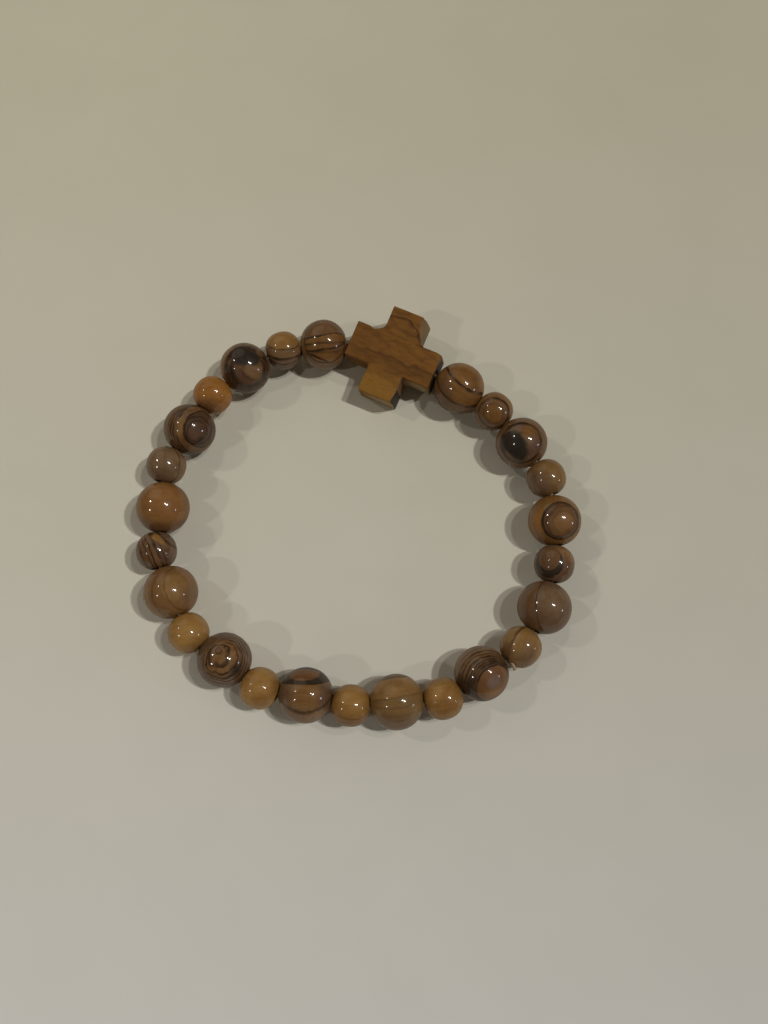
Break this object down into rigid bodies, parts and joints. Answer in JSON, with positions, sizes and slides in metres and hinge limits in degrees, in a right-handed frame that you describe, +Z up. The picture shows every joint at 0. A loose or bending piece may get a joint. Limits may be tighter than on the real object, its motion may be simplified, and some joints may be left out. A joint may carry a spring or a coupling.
{
  "type": "rosary bracelet",
  "caption": "Elastic rosary bracelet of turned olive wood beads, large and small in turn, with a plain drilled wooden cross, lying flat in a loose loop.",
  "frame": {"origin": "on the surface that the bracelet lies on, under the middle of the box round the whole loop", "axes": "+Z up from the surface; +Y from the middle of the loop towards the side with the cross; +X to the right seen from above with the cross at the far side"},
  "size_m": [0.0678, 0.0656, 0.008],
  "materials": {
    "bead_wood": "turned olive wood, lacquered to a gloss",
    "cross_wood": "sawn olive wood, satin",
    "elastic": "pale elastic cord, dull"
  },
  "bodies": {
    "root": {"cross": "cross_wood", "elastic": "elastic", "bead_01": "bead_wood", "bead_02": "bead_wood", "bead_03": "bead_wood", "bead_04": "bead_wood", "bead_05": "bead_wood", "bead_06": "bead_wood", "bead_07": "bead_wood", "bead_08": "bead_wood", "bead_09": "bead_wood", "bead_10": "bead_wood", "bead_11": "bead_wood", "bead_12": "bead_wood", "bead_13": "bead_wood", "bead_14": "bead_wood", "bead_15": "bead_wood", "bead_16": "bead_wood", "bead_17": "bead_wood", "bead_18": "bead_wood", "bead_19": "bead_wood", "bead_20": "bead_wood", "bead_21": "bead_wood", "bead_22": "bead_wood", "bead_23": "bead_wood", "bead_24": "bead_wood", "bead_25": "bead_wood"}
  },
  "joints": []
}
